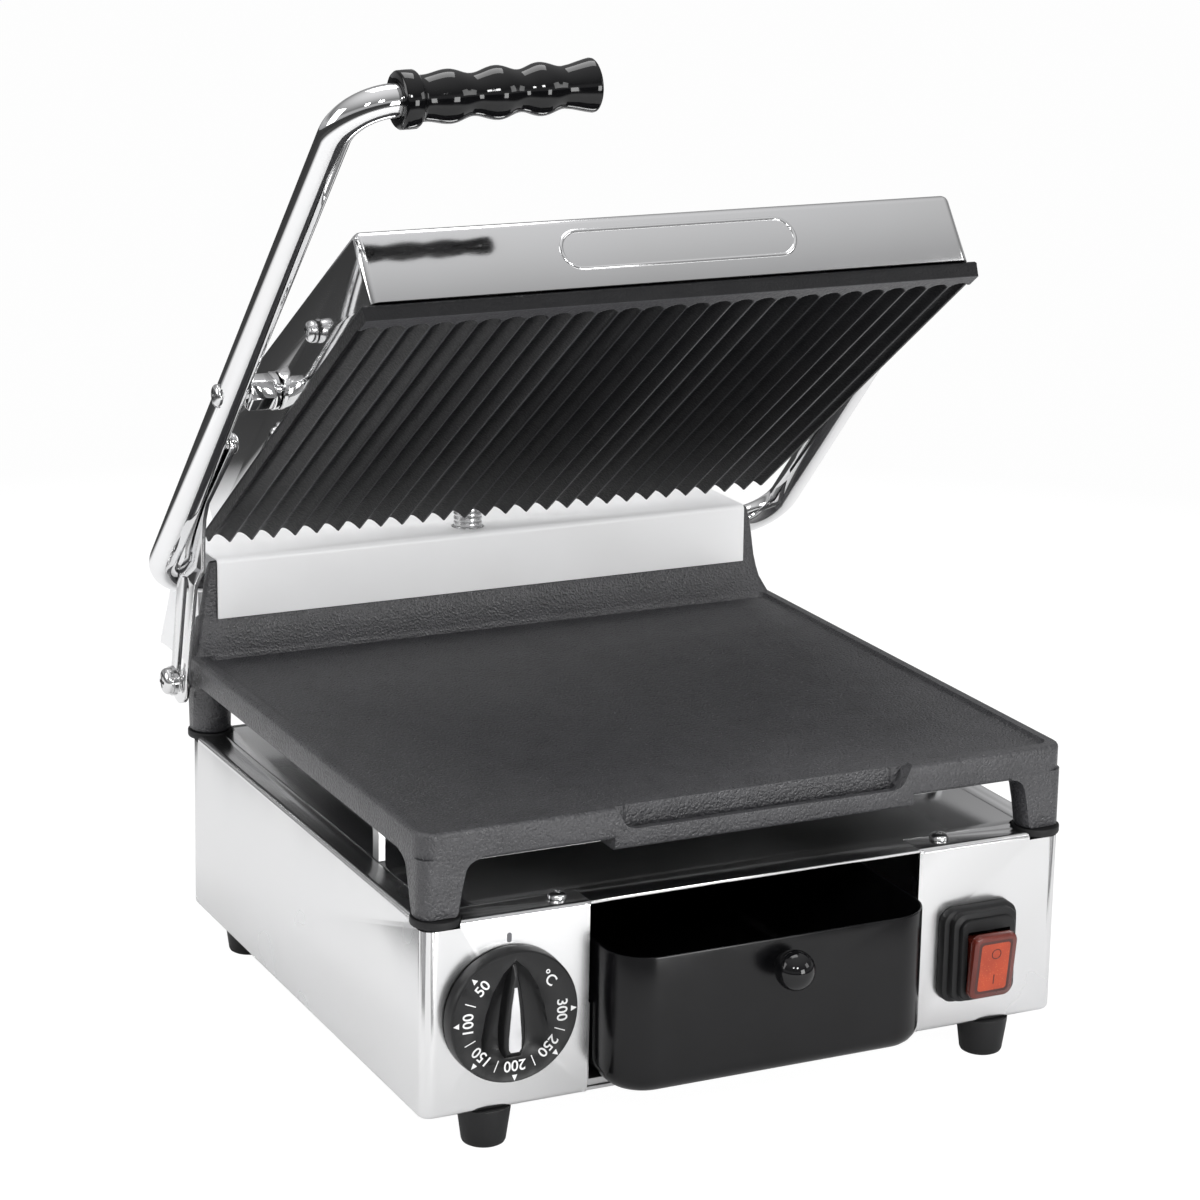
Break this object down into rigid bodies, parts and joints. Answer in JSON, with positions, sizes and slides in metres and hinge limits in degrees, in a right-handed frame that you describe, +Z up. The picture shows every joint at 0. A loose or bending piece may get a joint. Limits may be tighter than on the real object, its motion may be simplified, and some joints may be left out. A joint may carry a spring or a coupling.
{
  "type": "panini press",
  "caption": "Countertop contact grill: flat cast lower plate, ribbed upper plate in a sheet hood on a bent-tube lever, slotted guide link, drip tray, thermostat knob and lit rocker switch.",
  "frame": {"origin": "on the table, under the middle of the object's bounding box, with the lid open", "axes": "+X to the object's right as seen from its front, -Y to the front where the knob and tray are, +Z up"},
  "size_m": [0.3724, 0.4354, 0.4782],
  "materials": {
    "polished_steel": "mirror polished stainless sheet",
    "tube_chrome": "bright chromed tube",
    "casting": "fine pebbled dark coating",
    "grip_black": "glossy moulded black",
    "knob_black": "satin moulded black",
    "pointer_white": "plain",
    "rocker_red": "translucent orange red",
    "rubber_black": "matt",
    "tray_black": "glossy black enamel",
    "zinc": "bright zinc plated",
    "inner_steel": "plain sheet",
    "element": "heat stained sheath",
    "ceramic": "plain",
    "black_plastic": "plain",
    "wire_sleeve": "glass sleeve"
  },
  "bodies": {
    "base": {"shell_left": "polished_steel", "shell_right": "polished_steel", "top_sheet": "polished_steel", "rear_cover": "polished_steel", "rear_panel": "inner_steel", "floor_plate": "inner_steel", "heat_shield": "inner_steel", "tray_runner_left": "inner_steel", "tray_runner_right": "inner_steel", "tray_stop": "inner_steel", "lower_plate": "casting", "foot_fl": "rubber_black", "foot_fr": "rubber_black", "foot_rl": "rubber_black", "foot_rr": "rubber_black", "leg_cup_fl": "rubber_black", "leg_cup_fr": "rubber_black", "leg_cup_rl": "rubber_black", "leg_cup_rr": "rubber_black", "switch_boot": "rubber_black", "top_screw_left": "zinc", "top_screw_right": "zinc", "hinge_block_left": "zinc", "hinge_block_right": "zinc", "hinge_spring_left": "zinc", "hinge_spring_right": "zinc", "conduit": "zinc", "conduit_gland": "zinc", "guide_screw": "zinc", "thermostat_body": "zinc", "lower_element": "element", "terminal_block": "ceramic", "switch_body": "black_plastic", "cable_gland": "black_plastic", "wiring_loom": "wire_sleeve"},
    "arm": {"arm_tube": "tube_chrome", "hand_grip": "grip_black", "pivot_bolt_left": "zinc", "pivot_bolt_right": "zinc", "pivot_spacer_left": "zinc", "pivot_spacer_right": "zinc", "link_screw": "zinc"},
    "lid": {"hood": "polished_steel", "upper_plate": "casting", "upper_element": "element", "upper_clamp": "inner_steel", "hood_screw_left": "zinc", "hood_screw_right": "zinc"},
    "link": {"slotted_link": "polished_steel"},
    "tray": {"drip_tray": "tray_black", "tray_knob": "grip_black"},
    "knob": {"thermostat_knob": "knob_black", "knob_pointer": "pointer_white"},
    "rocker": {"switch_rocker": "rocker_red"}
  },
  "joints": [
    {"name": "arm_hinge", "type": "hinge", "parent": "base", "child": "arm", "pos_m": [0, 0.14775, 0.1849], "axis": [1, 0, 0], "range_deg": [0, 49.85], "deforming": ["conduit"]},
    {"name": "lid_pivot", "type": "hinge", "parent": "arm", "child": "lid", "pos_m": [0, 0.03513, 0.30618], "axis": [1, 0, 0], "range_deg": [-14, 0]},
    {"name": "link_pivot", "type": "hinge", "parent": "arm", "child": "link", "pos_m": [0, 0.06405, 0.27503], "axis": [1, 0, 0], "range_deg": [-11.5, 0]},
    {"name": "tray_slide", "type": "slide", "parent": "base", "child": "tray", "axis": [0, -1, 0], "range_m": [0, 0.19]},
    {"name": "knob_turn", "type": "hinge", "parent": "base", "child": "knob", "pos_m": [-0.124, -0.17475, 0.0642], "axis": [0, 1, 0], "range_deg": [0, 270]},
    {"name": "rocker_tip", "type": "hinge", "parent": "base", "child": "rocker", "pos_m": [0.1188, -0.17825, 0.0548], "axis": [-1, 0, 0], "range_deg": [0, 14]}
  ],
  "couplings": [
    {"joint": "lid_pivot", "follows": "arm_hinge", "ratio": -0.2678},
    {"joint": "link_pivot", "follows": "arm_hinge", "ratio": -0.2138}
  ]
}
